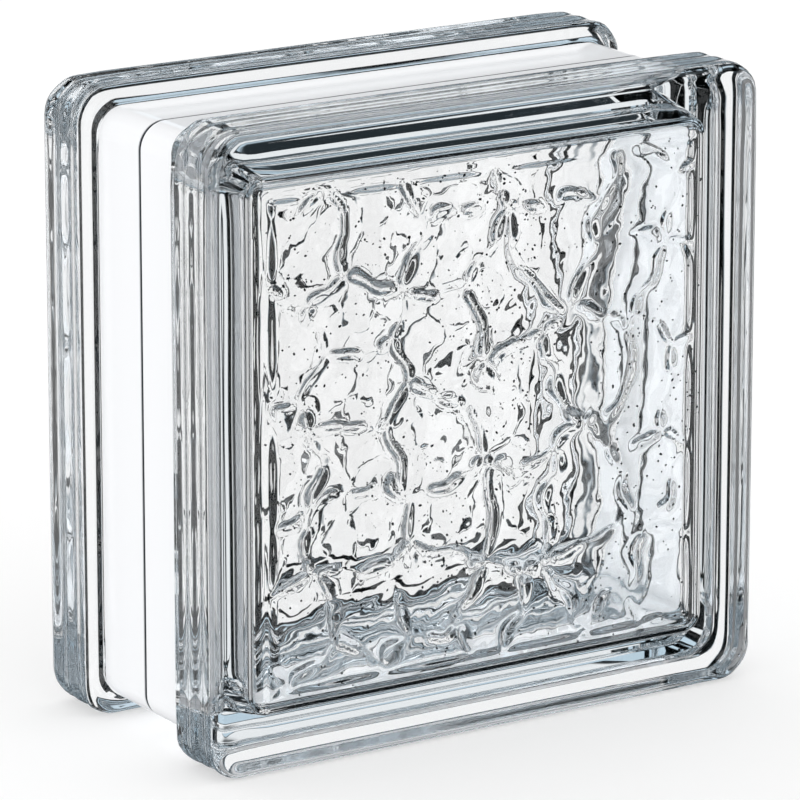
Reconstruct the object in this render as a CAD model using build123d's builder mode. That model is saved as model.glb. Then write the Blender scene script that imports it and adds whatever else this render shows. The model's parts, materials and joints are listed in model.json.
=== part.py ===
from build123d import *
import os
import random

# Hollow glass block, 197 x 197 x 98 mm: the actual size of a nominal 8 x 8 x 4 inch unit.
# Two like pressed halves are fused at mid-depth. The front face looks towards -Y, +X runs to
# the right along it, +Z is up, and the origin is at the centre of the edge it stands on.

# Outer size
block_size = 197.0
block_depth = 98.0
block_corner_radius = 11.0
face_edge_radius = 4.0

# Rim round each face, and the mortar channel between the two rims
rim_depth = 23.0
rim_back_radius = 2.5
channel_depth = 6.5
channel_corner_radius = 8.0
channel_root_chamfer = 2.0
seam_chamfer = 0.8

# Glass left in the face, and the hollow behind it
face_thickness = 7.0
hollow_size = 163.0
hollow_corner_radius = 6.0
hollow_root_radius = 4.0
hollow_draft = 7.0

# Shallow round dimples pressed into the inner face, on a loosened square grid
cells_across = 6
cell_radius_range = (17.5, 20.0)
cell_depth_range = (1.4, 2.0)
cell_shift = 5.0
cell_seed = 11
cell_margin = 0.5

# White coating on the channel's floor
coating_thickness = 0.5

half_depth = block_depth / 2
hollow_depth = half_depth - face_thickness
channel_half_width = half_depth - rim_depth
channel_size = block_size - 2 * channel_depth

# The seam lies in this plane, seen from the front and centred on the block
seam_plane = Plane(origin=(0, 0, block_size / 2), x_dir=(1, 0, 0), z_dir=(0, -1, 0))


def at_depth(shapes, depth, tolerance=0.01):
    # The faces or edges that lie at one distance in front of the seam
    return shapes.filter_by_position(Axis.Y, -depth - tolerance, -depth + tolerance)


def dimple(radius, depth):
    # Lens-shaped cutter that sinks to the given depth at its middle
    overlap = 1.0
    ball_radius = (radius**2 + depth**2) / (2 * depth)
    with BuildPart() as lens:
        with Locations((0, 0, depth - ball_radius)):
            Sphere(ball_radius, rotation=(90, 0, 0))
        with Locations((0, 0, depth)):
            Cylinder(radius, 2 * (depth + overlap), mode=Mode.INTERSECT)
    return lens.part


# One half without its hollow: the channel's floor steps up to the rim
with BuildPart() as solid_half:
    with BuildSketch(seam_plane):
        RectangleRounded(channel_size, channel_size, channel_corner_radius)
    extrude(amount=half_depth)
    with BuildSketch(seam_plane.offset(channel_half_width)):
        RectangleRounded(block_size, block_size, block_corner_radius)
    extrude(amount=rim_depth)
    channel_wall = at_depth(solid_half.faces(), channel_half_width)[0]
    channel_root = channel_wall.inner_wires()[0].edges()
    fillet(channel_wall.outer_wire().edges(), rim_back_radius)
    chamfer(channel_root, channel_root_chamfer)
    fillet(at_depth(solid_half.edges(), half_depth), face_edge_radius)
    chamfer(at_depth(solid_half.edges(), 0), seam_chamfer)

# The dimples, cut off along the foot of the hollow's rounded root
random.seed(cell_seed)
cell_pitch = hollow_size / cells_across
with BuildPart(seam_plane.offset(hollow_depth)) as relief:
    for row in range(cells_across):
        for column in range(cells_across):
            across = (column - (cells_across - 1) / 2) * cell_pitch
            up = (row - (cells_across - 1) / 2) * cell_pitch
            across += random.uniform(-cell_shift, cell_shift)
            up += random.uniform(-cell_shift, cell_shift)
            lens = dimple(random.uniform(*cell_radius_range), random.uniform(*cell_depth_range))
            with Locations((across, up)):
                add(lens)
    with BuildSketch(seam_plane.offset(hollow_depth / 2)):
        relief_size = hollow_size - 2 * (hollow_root_radius + cell_margin)
        RectangleRounded(relief_size, relief_size, hollow_corner_radius - hollow_root_radius)
    extrude(amount=half_depth - hollow_depth / 2, mode=Mode.INTERSECT)

# The hollow of one half, widening from the face to the seam
with BuildPart() as hollow:
    with BuildSketch(seam_plane):
        RectangleRounded(hollow_size, hollow_size, hollow_corner_radius)
    extrude(amount=hollow_depth)
    draft(hollow.faces().sort_by(Axis.Y)[1:-1], seam_plane.offset(hollow_depth), hollow_draft)
    fillet(at_depth(hollow.edges(), hollow_depth), hollow_root_radius)

# Front half
with BuildPart() as front_half_shell:
    add(solid_half.part)
    add(hollow.part, mode=Mode.SUBTRACT)
    add(relief.part, mode=Mode.SUBTRACT)

# Rear half: the same pressing turned round
with BuildPart() as rear_half_shell:
    add(front_half_shell.part, rotation=(0, 0, 180))

# Coating on the channel's floor, which follows the groove along the seam
with BuildPart() as edge_coating:
    with BuildSketch(seam_plane):
        coated_size = channel_size + 2 * coating_thickness
        coated_radius = channel_corner_radius + coating_thickness
        RectangleRounded(coated_size, coated_size, coated_radius)
    extrude(amount=channel_half_width - channel_root_chamfer)
    chamfer(at_depth(edge_coating.edges(), 0), seam_chamfer)
    add(solid_half.part, mode=Mode.SUBTRACT)
    mirror(about=Plane.XZ)

os.makedirs("parts", exist_ok=True)
front_half_shell.part.label = "front_half_shell"
rear_half_shell.part.label = "rear_half_shell"
edge_coating.part.label = "edge_coating"
export_step(front_half_shell.part, "parts/front_half_shell.step")
export_step(rear_half_shell.part, "parts/rear_half_shell.step")
export_step(edge_coating.part, "parts/edge_coating.step")
for piece in (front_half_shell.part, rear_half_shell.part, edge_coating.part):
    print(piece.label, round(piece.volume / 1000, 1), "cm3", piece.bounding_box())
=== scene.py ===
import bpy
import bmesh
import json
import math
import random
from mathutils import Matrix, Vector, noise

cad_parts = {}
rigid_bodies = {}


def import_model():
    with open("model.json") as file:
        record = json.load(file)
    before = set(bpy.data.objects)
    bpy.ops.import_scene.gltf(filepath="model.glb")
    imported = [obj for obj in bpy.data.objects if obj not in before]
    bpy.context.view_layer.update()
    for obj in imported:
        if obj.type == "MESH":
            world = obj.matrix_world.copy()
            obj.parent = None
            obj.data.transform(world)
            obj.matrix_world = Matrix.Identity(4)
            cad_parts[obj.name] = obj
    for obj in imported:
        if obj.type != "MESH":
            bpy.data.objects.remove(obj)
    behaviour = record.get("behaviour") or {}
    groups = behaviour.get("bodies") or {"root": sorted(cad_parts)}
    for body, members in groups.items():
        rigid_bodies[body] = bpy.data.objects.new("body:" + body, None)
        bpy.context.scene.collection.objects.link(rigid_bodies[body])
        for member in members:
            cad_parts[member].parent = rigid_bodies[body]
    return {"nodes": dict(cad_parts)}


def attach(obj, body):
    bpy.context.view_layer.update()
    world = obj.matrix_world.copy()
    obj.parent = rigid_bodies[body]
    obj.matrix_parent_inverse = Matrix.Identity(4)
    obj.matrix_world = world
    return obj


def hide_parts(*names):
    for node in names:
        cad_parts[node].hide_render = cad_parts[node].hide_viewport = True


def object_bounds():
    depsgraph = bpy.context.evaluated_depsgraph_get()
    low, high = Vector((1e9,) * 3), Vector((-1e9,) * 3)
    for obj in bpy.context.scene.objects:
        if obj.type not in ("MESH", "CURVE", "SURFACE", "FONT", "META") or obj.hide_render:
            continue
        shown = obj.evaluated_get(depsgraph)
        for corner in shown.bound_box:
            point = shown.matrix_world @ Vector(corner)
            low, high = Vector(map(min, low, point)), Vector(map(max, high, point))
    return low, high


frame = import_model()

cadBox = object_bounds()
mm = 0.001


# Helpers shared by all pieces

def srgb(hexCode):
    # "#E8EEF2" to the linear colour that the shaders use
    channels = [int(hexCode[i:i + 2], 16) / 255 for i in (1, 3, 5)]
    return [c / 12.92 if c <= 0.04045 else ((c + 0.055) / 1.055) ** 2.4 for c in channels] + [1.0]


def addNode(tree, kind, settings=None, inputs=None, links=None):
    # One node, with its settings, its socket values and what is linked into it
    node = tree.nodes.new(kind)
    for name, value in (settings or {}).items():
        setattr(node, name, value)
    for name, value in (inputs or {}).items():
        node.inputs[name].default_value = value
    for name, output in (links or {}).items():
        tree.links.new(output, node.inputs[name])
    return node


def newMaterial(name):
    material = bpy.data.materials.new(name)
    material.use_nodes = True
    material.node_tree.nodes.clear()
    return material, material.node_tree


def newPiece(name, bm, materials):
    mesh = bpy.data.meshes.new(name)
    bm.to_mesh(mesh)
    bm.free()
    for polygon in mesh.polygons:
        polygon.use_smooth = True
    piece = bpy.data.objects.new(name, mesh)
    bpy.context.scene.collection.objects.link(piece)
    for material in materials:
        mesh.materials.append(material)
    return piece


# Camera: a long lens, a third of a right angle round from the front and a little above

cameraSettings = {
    "azimuth": -32.88,        # degrees round from the front
    "elevation": 15.03,
    "distance": 1810 * mm,
    "lens": 265.9, "sensor": 36.0,
    "aimRight": -0.95 * mm,   # where it looks, off the block's centre
    "aimUp": -5.4 * mm,
}


def buildCamera(s):
    a, e = math.radians(s["azimuth"]), math.radians(s["elevation"])
    back = Vector((math.sin(a) * math.cos(e), -math.cos(a) * math.cos(e), math.sin(e)))
    turn = (-back).to_track_quat("-Z", "Y")
    centre = (cadBox[0] + cadBox[1]) / 2
    data = bpy.data.cameras.new("camera")
    data.lens = s["lens"]
    data.sensor_width = s["sensor"]
    data.clip_start, data.clip_end = 0.05, 50
    camera = bpy.data.objects.new("camera", data)
    bpy.context.scene.collection.objects.link(camera)
    place = centre + back * s["distance"]
    aim = centre + turn @ Vector((s["aimRight"], s["aimUp"], 0))
    camera.rotation_mode = "QUATERNION"
    camera.rotation_quaternion = (aim - place).to_track_quat("-Z", "Y")
    camera.location = place
    bpy.context.scene.camera = camera


buildCamera(cameraSettings)
print("camera set")


# Pressed glass body, in millimetres until it is finished

glassSettings = {
    # Outline
    "size": 197.0, "depth": 98.0, "cornerRadius": 11.0, "leastRadius": 1.5, "faceEdge": 4.0,
    "borderWidth": 19.0,       # smooth frame round the patterned middle of each face

    # Rims, and the mortar channel between them
    "rimDepth": 23.0, "rimBack": 2.5,
    "channelDepth": 6.55,      # 0.05 clear of the coating: two surfaces in one place render black
    "channelRadius": 8.0, "channelRoot": 2.0, "seamGroove": 0.8,

    # Hollow
    "faceThickness": 7.0, "hollowSize": 163.0, "hollowRadius": 6.0, "hollowRoot": 4.0,
    "hollowLeast": 0.5,        # least radius of its corners
    "draft": 7.0,              # degrees

    # Soft waves left by the mould: their depth, and how many cross the strip
    "faceWave": 0.1, "faceWaves": 1,
    "sideWave": 0.9, "sideWaves": 2,
    "sideMean": 0.52, "sideSpread": 0.48,      # from all of it on the left to little on the right

    # Slow waviness of the whole skin, and closer and deeper waves round the corners
    "unevenness": 0.12, "unevenLength": 60.0,
    "cornerUneven": 0.9, "cornerLength": 9.0,
    "cornerReach": 1.3,        # times the border's width
    "cornerSink": 0.3,         # how far the corners lean to being worn in rather than out
    "channelEdge": 10.0,       # glass nearer to the outline than this, between the rims, is channel
    "sideRoom": 0.2, "faceRoom": 0.05, "faceRise": 2.0,      # keep the skin inside the block's size

    # Dimples pressed into the inner faces, and how noise bends their outlines:
    # each bend has a size, a scale and two places in the noise
    "cells": 42, "cellSeed": 16, "cellGap": 19.5,
    "cellRadius": (17.5, 20.0), "cellDepth": (1.4, 2.0),
    "bends": [(7.0, 0.03, (5, 1, 3), (2, 7, 8)), (4.5, 0.08, (1, 6, 2), (8, 3, 5))],
    "crease": 0.05, "leastSlope": 0.04,
    "edgeFade": 3.0,           # the relief dies out over this width at its edge

    # Ridges that stand between the dimples, broken into lens-shaped lengths
    "ridgeHeight": 1.55, "heightMean": 0.55, "heightSpread": 2.0, "heightScale": 0.11,
    "ridgeWidth": 1.3, "leastWidth": 0.5, "widthSpread": 1.2, "widthScale": 0.09,
    "lensEnd": 1.2,

    # Low ripples: height, scale and place in the noise
    "ripples": [(0.09, 0.2, (3, 8, 1)), (0.045, 0.45, (6, 2, 9))],

    # Seeds: one of every rearSeeds lies in the rear face, and they crowd in patches
    "seeds": 1300, "rearSeeds": 4, "seedRadius": (0.2, 0.46), "seedDepth": (0.8, 4.2),
    "seedPatch": 0.045, "seedSpread": 0.5, "seedTurn": 3.0, "seedFlat": 0.7, "seedLong": (0.6, 1.6),

    # Mesh of the patterned middle, and the gap that its band to the hollow's root fills
    "gridSteps": 172, "gridGap": 1.0, "gridMargin": 0.2,
}
halfHeight = glassSettings["size"] / 2
cornerSteps = 8                # mesh steps round each corner of a loop
sideSteps = 22                 # and along each of its sides


def roundedLoop(bm, size, radius, y, face=False):
    # A rounded square in a plane across the block's depth; its face is kept only for the ends
    turn = Matrix.Translation((0, y, halfHeight)) @ Matrix.Rotation(math.pi / 2, 4, "X")
    square = bmesh.ops.create_grid(bm, x_segments=1, y_segments=1, size=size / 2, matrix=turn)
    made = bmesh.ops.bevel(bm, geom=square["verts"], offset=radius, offset_type="OFFSET",
                           segments=cornerSteps, profile=0.5, affect="VERTICES", material=-1)
    loopFace = next(f for v in made["verts"] for f in v.link_faces if len(f.verts) > 4)
    sides = [e for e in loopFace.edges if e.calc_length() > size / 2]
    bmesh.ops.subdivide_edges(bm, edges=sides, cuts=sideSteps - 1)
    edges = list(loopFace.edges)
    if not face:
        bmesh.ops.delete(bm, geom=[loopFace], context="FACES_ONLY")
    return edges


def bridgeAll(bm, loops):
    for first, second in zip(loops, loops[1:]):
        bmesh.ops.bridge_loops(bm, edges=first + second)


def quarter(steps):
    # Angles round a quarter of a circle
    return [math.pi / 2 * k / steps for k in range(steps + 1)]


def roll(height, waves, part):
    # Depth of soft waves across a strip, level with it at both ends
    return height * (1 - math.cos(2 * math.pi * waves * part)) / 2


def outerProfile(s):
    # (inset from the outline, distance from the seam) from the face's border down to the seam
    half, edge, back, border = s["depth"] / 2, s["faceEdge"], s["rimBack"], s["borderWidth"]
    wall, floor, root = half - s["rimDepth"], s["channelDepth"], s["channelRoot"]
    side = s["rimDepth"] - edge - back
    flat = wall - root - s["seamGroove"]
    waveSteps, edgeSteps, backSteps, rootSteps, flatSteps = 24, 8, 6, 3, 4
    points = []
    for k in range(waveSteps):
        low = roll(s["faceWave"], s["faceWaves"], k / waveSteps)
        points.append((border + (edge - border) * k / waveSteps, half - low))
    for t in quarter(edgeSteps):
        points.append((edge * (1 - math.sin(t)), half - edge * (1 - math.cos(t))))
    for k in range(1, waveSteps):
        points.append((0, half - edge - side * k / waveSteps))
    for t in quarter(backSteps):
        points.append((back * (1 - math.cos(t)), wall + back * (1 - math.sin(t))))
    for t in quarter(rootSteps):
        points.append((floor - root * math.cos(t), wall - root * (1 - math.sin(math.pi / 2 - t))))
    for k in range(1, flatSteps + 1):
        points.append((floor, wall - root - k * flat / flatSteps))
    return points


def outerSkin(bm, s):
    # The pressed outline, swept through the block from one face to the other
    slope = (s["cornerRadius"] - s["channelRadius"]) / s["channelDepth"]
    points = outerProfile(s)
    groove = [(s["channelDepth"] + s["seamGroove"], 0)]
    stations = [(d, -y) for d, y in points] + groove + [(d, y) for d, y in reversed(points)]
    ends = (0, len(stations) - 1)
    loops = []
    for index, (inset, y) in enumerate(stations):
        radius = max(s["cornerRadius"] - slope * inset, s["leastRadius"])
        loops.append(roundedLoop(bm, s["size"] - 2 * inset, radius, y, index in ends))
    bridgeAll(bm, loops)


def waveSides(bm, s):
    # Soft waves along the rims' outer sides, deepest on the left and faint on the right
    bm.normal_update()
    run = s["rimDepth"] - s["faceEdge"] - s["rimBack"]
    for vert in bm.verts:
        part = (s["depth"] / 2 - s["faceEdge"] - abs(vert.co.y)) / run
        if 0 < part < 1:
            height = s["sideWave"] * (s["sideMean"] - s["sideSpread"] * vert.normal.x)
            vert.co -= vert.normal * roll(height, s["sideWaves"], part)


def layCells(s):
    # Centres, ball radii and depths of the dimples, strewn with at least a gap between centres
    random.seed(s["cellSeed"])
    reach = s["hollowSize"] / 2
    cells = []
    while len(cells) < s["cells"]:
        x, z = random.uniform(-reach, reach), random.uniform(-reach, reach)
        if all(math.hypot(x - cell[0], z - cell[1]) > s["cellGap"] for cell in cells):
            radius, depth = random.uniform(*s["cellRadius"]), random.uniform(*s["cellDepth"])
            cells.append((x, z, (radius ** 2 + depth ** 2) / (2 * depth), depth))
    return cells


def noiseAt(p, scale, start=(0, 0, 0)):
    # Each use starts from its own place in the noise
    return noise.noise(p * scale + Vector(start))


def outlineDistance(first, second, leastSlope):
    # About how far a point is from the line where two dimples meet
    slope = math.hypot(first[1] - second[1], first[2] - second[2])
    return (first[0] - second[0]) / max(slope, leastSlope)


def reliefHeight(x, z, cells, s, reach):
    # How far the glass is pressed back (minus) or stands up (plus) at a point of the inner face
    p = Vector((x, z, 0))
    bentX, bentZ = x, z
    for size, scale, startX, startZ in s["bends"]:
        bentX += size * noiseAt(p, scale, startX)
        bentZ += size * noiseAt(p, scale, startZ)

    # Depth and slope of each dimple here, the deepest first
    near = []
    for cellX, cellZ, ball, depth in cells:
        dx, dz = bentX - cellX, bentZ - cellZ
        near.append((depth - (dx * dx + dz * dz) / (2 * ball), -dx / ball, -dz / ball))
    near.sort(reverse=True)
    first, second, third = near[:3]

    # A ridge stands where two dimples meet, and thins out where a third comes in
    gap = outlineDistance(first, second, s["leastSlope"])
    free = outlineDistance(second, third, s["leastSlope"])
    width = s["ridgeWidth"] * (1.0 + s["widthSpread"] * noiseAt(p, s["widthScale"]))
    part = s["heightMean"] + s["heightSpread"] * noiseAt(p, s["heightScale"], (9, 4, 7))
    ridge = s["ridgeHeight"] * max(0.0, min(1.0, part))
    ridge *= math.exp(-(gap / max(width, s["leastWidth"])) ** 2)
    ridge *= 1 - math.exp(-(free / s["lensEnd"]) ** 2)

    # The dimples run together in a soft crease
    crease = s["crease"]
    dish = crease * math.log(sum(math.exp((n[0] - first[0]) / crease) for n in near[:4])) + first[0]
    ripple = 0
    for size, scale, start in s["ripples"]:
        ripple += size * noiseAt(p, scale, start)
    fade = min(1.0, max(0.0, (reach - max(abs(x), abs(z))) / s["edgeFade"]))
    return (-max(dish, 0) + ridge + ripple) * (fade * fade * (3 - 2 * fade))


def joinInto(bm, part):
    mesh = bpy.data.meshes.new("joined")
    part.to_mesh(mesh)
    part.free()
    bm.from_mesh(mesh)
    bpy.data.meshes.remove(mesh)


def hollowWalls(s):
    # Rounded root and drafted side wall of the hollow, from one face through the seam to the other
    floor, root = s["depth"] / 2 - s["faceThickness"], s["hollowRoot"]
    lean = math.tan(math.radians(s["draft"]))
    rootSteps, wallSteps = 8, 22
    stations = [(root * (1 - math.sin(t)), root * (1 - math.cos(t))) for t in quarter(rootSteps)]
    stations += [(0, root + (floor - root) * k / wallSteps) for k in range(1, wallSteps)]
    front = [(inset, rise, -1) for inset, rise in stations]
    rear = [(inset, rise, 1) for inset, rise in reversed(stations)]
    bm = bmesh.new()
    loops = []
    for inset, rise, side in front + [(0, floor, 1)] + rear:
        out = rise * lean - inset
        radius = max(s["hollowRadius"] + out, s["hollowLeast"])
        loops.append(roundedLoop(bm, s["hollowSize"] + 2 * out, radius, side * (floor - rise)))
    bridgeAll(bm, loops)
    return bm


def reliefGrid(bm, s, side, cells):
    # The pressed inner face of one half, joined to the root round it
    floor = s["depth"] / 2 - s["faceThickness"]
    root = [e for e in bm.edges if len(e.link_faces) == 1 and e.verts[0].co.y * side > 0]
    turn = Matrix.Translation((0, side * floor, halfHeight)) @ Matrix.Rotation(math.pi / 2, 4, "X")
    size = s["hollowSize"] / 2 - s["hollowRoot"] - s["gridGap"]
    grid = bmesh.ops.create_grid(bm, x_segments=s["gridSteps"], y_segments=s["gridSteps"],
                                 size=size, matrix=turn)["verts"]
    for vert in grid:
        x, z = vert.co.x * -side, vert.co.z - halfHeight
        vert.co.y -= side * reliefHeight(x, z, cells, s, size - s["gridMargin"])
    rim = [e for e in {e for v in grid for e in v.link_edges} if len(e.link_faces) == 1]
    bmesh.ops.bridge_loops(bm, edges=root + rim)


def unevenSkin(bm, s):
    # The slow waviness of pressed glass, closer and deeper round the corners
    bm.normal_update()
    half = s["size"] / 2
    channelHalf = s["depth"] / 2 - s["rimDepth"]
    for vert in bm.verts:
        x, z = half - abs(vert.co.x), half - abs(vert.co.z - halfHeight)
        if abs(vert.co.y) < channelHalf and min(x, z) < s["channelEdge"]:
            continue                      # the channel's floor stays clear of its coating
        amount = s["unevenness"] * noise.noise(vert.co / s["unevenLength"])
        corner = max(0, 1 - math.hypot(x, z) / s["borderWidth"] / s["cornerReach"])
        closer = noise.noise(vert.co / s["cornerLength"]) - s["cornerSink"]
        amount += s["cornerUneven"] * corner * closer
        room = 1
        if amount > 0:                    # outwards only where that stays inside the block's size
            behind = s["depth"] / 2 - abs(vert.co.y) - s["faceRoom"]
            room = min(1, max(0, min(x, z) - s["sideRoom"]), max(0, behind) * s["faceRise"])
        vert.co += vert.normal * amount * room


def airSeeds(s):
    # Tiny air bubbles caught in the two faces, larger than most real ones so that they show
    random.seed(s["cellSeed"] + 1)
    reach = s["hollowSize"] / 2 - s["hollowRoot"]
    bm = bmesh.new()
    for k in range(s["seeds"]):
        radius = random.uniform(*s["seedRadius"])
        side = -1 if k % s["rearSeeds"] else 1
        deep = s["depth"] / 2 - random.uniform(*s["seedDepth"])
        while True:
            x, z = random.uniform(-reach, reach), random.uniform(-reach, reach)
            crowd = noise.noise(Vector((x, z, side)) * s["seedPatch"])
            if crowd > random.uniform(-s["seedSpread"], s["seedSpread"]):
                break
        place = Matrix.Translation((x, side * deep, halfHeight + z))
        turn = Matrix.Rotation(random.uniform(0, s["seedTurn"]), 4, "Y")
        form = turn @ Matrix.Diagonal((1, s["seedFlat"], random.uniform(*s["seedLong"]), 1))
        bmesh.ops.create_icosphere(bm, subdivisions=1, radius=radius, matrix=place @ form)
    # every bubble takes the seed material, whose dark colour is painted shade
    for face in bm.faces:
        face.material_index = 1
    return bm


def buildGlass(s, materials):
    hollow = hollowWalls(s)
    cells = layCells(s)
    for side in (-1, 1):
        reliefGrid(hollow, s, side, cells)
    bmesh.ops.recalc_face_normals(hollow, faces=hollow.faces)
    bmesh.ops.reverse_faces(hollow, faces=hollow.faces)      # out of the glass is into the hollow
    skin = bmesh.new()
    outerSkin(skin, s)
    bmesh.ops.recalc_face_normals(skin, faces=skin.faces)
    waveSides(skin, s)
    bm = bmesh.new()
    joinInto(bm, skin)
    joinInto(bm, hollow)
    unevenSkin(bm, s)
    joinInto(bm, airSeeds(s))
    bmesh.ops.scale(bm, vec=(mm, mm, mm), verts=bm.verts)
    piece = newPiece("glass_block", bm, materials)
    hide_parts("front_half_shell", "rear_half_shell")
    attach(piece, "root")
    return piece


def clearGlass():
    # Soda-lime glass, machine-pressed: clear and smooth, with a faint grey-blue cast in a long path
    material, tree = newMaterial("pressed soda-lime glass")
    glass = addNode(tree, "ShaderNodeBsdfPrincipled", inputs={
        "Base Color": srgb("#FFFFFF"), "Roughness": 0.0, "IOR": 1.52, "Transmission Weight": 1.0})
    clear = addNode(tree, "ShaderNodeBsdfTransparent", inputs={"Color": srgb("#FBFCFC")})
    path = addNode(tree, "ShaderNodeLightPath")
    mix = addNode(tree, "ShaderNodeMixShader", links={
        "Fac": path.outputs["Is Shadow Ray"], 1: glass.outputs[0], 2: clear.outputs[0]})
    tint = addNode(tree, "ShaderNodeVolumeAbsorption", inputs={
        "Color": srgb("#9FC0D0"), "Density": 2.2})
    addNode(tree, "ShaderNodeOutputMaterial", links={
        "Surface": mix.outputs[0], "Volume": tint.outputs[0]})
    return material


def seedPaintedDark():
    # Air bubbles in glass: they bend the light so far that they look dark, so they are made opaque
    # and painted dark, as painted shade
    material, tree = newMaterial("air seed painted dark")
    seed = addNode(tree, "ShaderNodeBsdfPrincipled", inputs={
        "Base Color": srgb("#2B3036"), "Roughness": 0.2})
    addNode(tree, "ShaderNodeOutputMaterial", links={"Surface": seed.outputs[0]})
    return material


glass = buildGlass(glassSettings, [clearGlass(), seedPaintedDark()])
print("glass body:", len(glass.data.polygons), "faces")


# White coating on the channel's floor

coatingSettings = {
    # the seam's dark band is partly the fused joint and partly painted shade of the groove there
    "white": "#F6F7F9", "seam": "#2A2F35",
    "daylight": "#EEF0F2",                            # what passes through it
    "roughness": 0.14, "ior": 1.5,
    "seamEnds": 0.5 * mm, "whiteStarts": 0.8 * mm,    # from the middle of the groove
}


def coatingPaint(s):
    # Baked enamel: smooth and glossy, thin enough to let some daylight through, dark in a thin band
    # at the seam, which stands for the fused joint and is also painted shade of its groove
    material, tree = newMaterial("baked white enamel")
    place = addNode(tree, "ShaderNodeTexCoord")
    axes = addNode(tree, "ShaderNodeSeparateXYZ", links={"Vector": place.outputs["Object"]})
    offset = addNode(tree, "ShaderNodeMath", {"operation": "ABSOLUTE"}, links={
        0: axes.outputs["Y"]})
    beside = addNode(tree, "ShaderNodeMapRange", inputs={
        "From Min": s["seamEnds"], "From Max": s["whiteStarts"]}, links={
        "Value": offset.outputs[0]})
    # within seamEnds of the seam the enamel turns dark: the joint, with painted shade of its groove
    colour = addNode(tree, "ShaderNodeMixRGB", inputs={
        "Color1": srgb(s["seam"]), "Color2": srgb(s["white"])}, links={"Fac": beside.outputs[0]})
    paint = addNode(tree, "ShaderNodeBsdfPrincipled", inputs={
        "Roughness": s["roughness"], "IOR": s["ior"]}, links={"Base Color": colour.outputs[0]})
    thin = addNode(tree, "ShaderNodeBsdfTransparent", inputs={"Color": srgb(s["daylight"])})
    path = addNode(tree, "ShaderNodeLightPath")
    mix = addNode(tree, "ShaderNodeMixShader", links={
        "Fac": path.outputs["Is Shadow Ray"], 1: paint.outputs[0], 2: thin.outputs[0]})
    addNode(tree, "ShaderNodeOutputMaterial", links={"Surface": mix.outputs[0]})
    return material


coating = frame["nodes"]["edge_coating"]
coating.data.materials.clear()
coating.data.materials.append(coatingPaint(coatingSettings))
print("coating painted")


# Floor and world

stageSettings = {
    "floorRadius": 6.0, "floorSteps": 96, "floorColour": "#F4F4F4",
    "floorGlow": 1.1, "glowShare": 0.35,

    # Light of the open studio, and the light that a ray scattered by the enamel meets once it
    # has crossed this many glass surfaces in all: none by way of a rim alone, which keeps the
    # rims' bands dark, and more by way of the hollow, where the real coating lets daylight in
    "skyLight": 1.1, "lightInside": [(1, 0.0), (6, 2.0), (7, 2.8)],

    # Upright cards, in degrees round from the start of each eighth of a turn
    "cardTurns": 8,
    "cards": [(0.0, "#FFFFFF"), (5.0, "#FFFFFF"), (5.5, "#020303"), (21.5, "#020303"),
              (22.2, "#545E66"), (23.0, "#8D969C"), (24.5, "#FFFFFF"), (45.0, "#FFFFFF")],

    # Level cards, in degrees above the horizon
    "heights": [(-90, "#FFFFFF"), (-62, "#FFFFFF"), (-60, "#0A0C0E"), (-48, "#0A0C0E"),
                (-46, "#CCDFEB"), (-42, "#CCDFEB"), (-40, "#020303"), (-29, "#020303"),
                (-27, "#FFFFFF"), (4, "#FFFFFF"), (5, "#2B3236"), (14, "#2B3236"),
                (16, "#CCDFEB"), (25, "#CCDFEB"), (27, "#020303"), (35, "#020303"),
                (37, "#D4E6F2"), (48, "#D4E6F2"), (50, "#0A0C0E"), (58, "#0A0C0E"),
                (60, "#FFFFFF"), (90, "#FFFFFF")],
}


def whiteFloor(s):
    # Matt white paper, lifted by a little glow of its own so that it runs into the background
    material, tree = newMaterial("white paper sweep")
    paper = addNode(tree, "ShaderNodeBsdfDiffuse", inputs={"Color": srgb(s["floorColour"])})
    glow = addNode(tree, "ShaderNodeEmission", inputs={
        "Color": srgb("#FFFFFF"), "Strength": s["floorGlow"]})
    seen = addNode(tree, "ShaderNodeMixShader", inputs={"Fac": s["glowShare"]}, links={
        1: paper.outputs[0], 2: glow.outputs[0]})
    addNode(tree, "ShaderNodeOutputMaterial", links={"Surface": seen.outputs[0]})
    return material


def buildFloor(s):
    bm = bmesh.new()
    bmesh.ops.create_circle(bm, cap_ends=True, segments=s["floorSteps"], radius=s["floorRadius"])
    floor = newPiece("floor", bm, [whiteFloor(s)])
    floor.visible_glossy = False          # glass looks past the paper to the studio's cards
    floor.visible_transmission = False
    floor.visible_shadow = False          # white paper under the block lights it from below


def colourRamp(tree, fac, stops):
    ramp = addNode(tree, "ShaderNodeValToRGB", links={"Fac": fac})
    elements = ramp.color_ramp.elements
    while len(elements) < len(stops):
        elements.new(0.5)
    for element, (place, colour) in zip(elements, stops):
        element.position = place
        element.color = srgb(colour)
    return ramp.outputs[0]


def grey(level):
    return [level] * 3 + [1]


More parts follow.
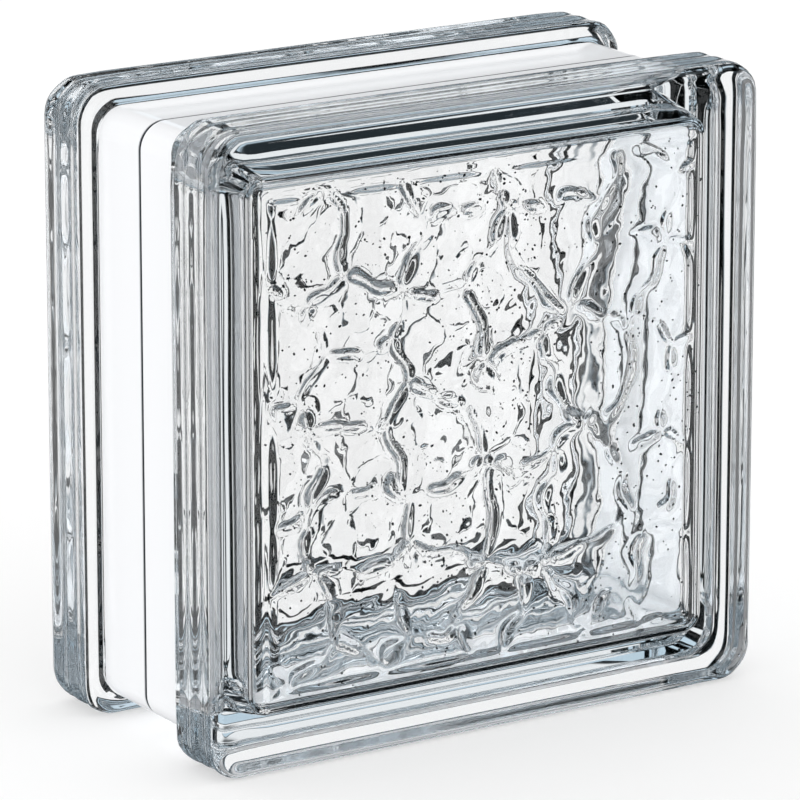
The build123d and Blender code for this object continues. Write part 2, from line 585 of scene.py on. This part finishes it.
def buildWorld(s):
    # White all round; glass also sees upright and level cards, as a studio sets them round it
    world = bpy.data.worlds.new("studio")
    world.use_nodes = True
    tree = world.node_tree
    tree.nodes.clear()
    aim = addNode(tree, "ShaderNodeTexCoord")
    axes = addNode(tree, "ShaderNodeSeparateXYZ", links={"Vector": aim.outputs["Generated"]})
    turn = addNode(tree, "ShaderNodeMath", {"operation": "ARCTAN2"}, links={
        0: axes.outputs["X"], 1: axes.outputs["Y"]})
    turns = addNode(tree, "ShaderNodeMath", {"operation": "MULTIPLY"}, {
        1: s["cardTurns"] / (2 * math.pi)}, {0: turn.outputs[0]})
    part = addNode(tree, "ShaderNodeMath", {"operation": "FRACT"}, links={0: turns.outputs[0]})
    wide = 360 / s["cardTurns"]
    upright = colourRamp(tree, part.outputs[0], [(a / wide, c) for a, c in s["cards"]])
    rise = addNode(tree, "ShaderNodeMath", {"operation": "ARCSINE"}, links={0: axes.outputs["Z"]})
    level = addNode(tree, "ShaderNodeMapRange", inputs={
        "From Min": -math.pi / 2, "From Max": math.pi / 2}, links={"Value": rise.outputs[0]})
    heights = colourRamp(tree, level.outputs[0], [(a / 180 + 0.5, c) for a, c in s["heights"]])
    cards = addNode(tree, "ShaderNodeMixRGB", {"blend_type": "MULTIPLY"}, {"Fac": 1.0}, {
        "Color1": upright, "Color2": heights})

    # The cards show in glass and gloss, unless the enamel has scattered the ray before
    path = addNode(tree, "ShaderNodeLightPath")
    clear = addNode(tree, "ShaderNodeMath", {"operation": "MAXIMUM"}, links={
        0: path.outputs["Is Glossy Ray"], 1: path.outputs["Is Transmission Ray"]})
    direct = addNode(tree, "ShaderNodeMath", {"operation": "LESS_THAN"}, {1: 0.5}, {
        0: path.outputs["Diffuse Depth"]})
    shown = addNode(tree, "ShaderNodeMath", {"operation": "MULTIPLY"}, links={
        0: clear.outputs[0], 1: direct.outputs[0]})
    plain = addNode(tree, "ShaderNodeRGB").outputs[0]
    plain.default_value = grey(s["skyLight"])
    for crossings, light in s["lightInside"]:
        through = addNode(tree, "ShaderNodeMath", {"operation": "GREATER_THAN"}, {
            1: crossings - 0.5}, {0: path.outputs["Transmission Depth"]})
        plain = addNode(tree, "ShaderNodeMixRGB", inputs={"Color2": grey(light)}, links={
            "Fac": through.outputs[0], "Color1": plain}).outputs[0]
    seen = addNode(tree, "ShaderNodeMixRGB", links={
        "Fac": shown.outputs[0], "Color1": plain, "Color2": cards.outputs[0]})
    light = addNode(tree, "ShaderNodeBackground", inputs={"Strength": 1.0}, links={
        "Color": seen.outputs[0]})
    addNode(tree, "ShaderNodeOutputWorld", links={"Surface": light.outputs[0]})
    bpy.context.scene.world = world


buildFloor(stageSettings)
buildWorld(stageSettings)

render = bpy.context.scene.cycles         # deep enough for light that crosses both faces and back
render.max_bounces = 32
render.transmission_bounces = 32
render.transparent_max_bounces = 32
render.glossy_bounces = 24
render.diffuse_bounces = 8
bpy.context.scene.view_settings.view_transform = "Standard"

print("stage set")
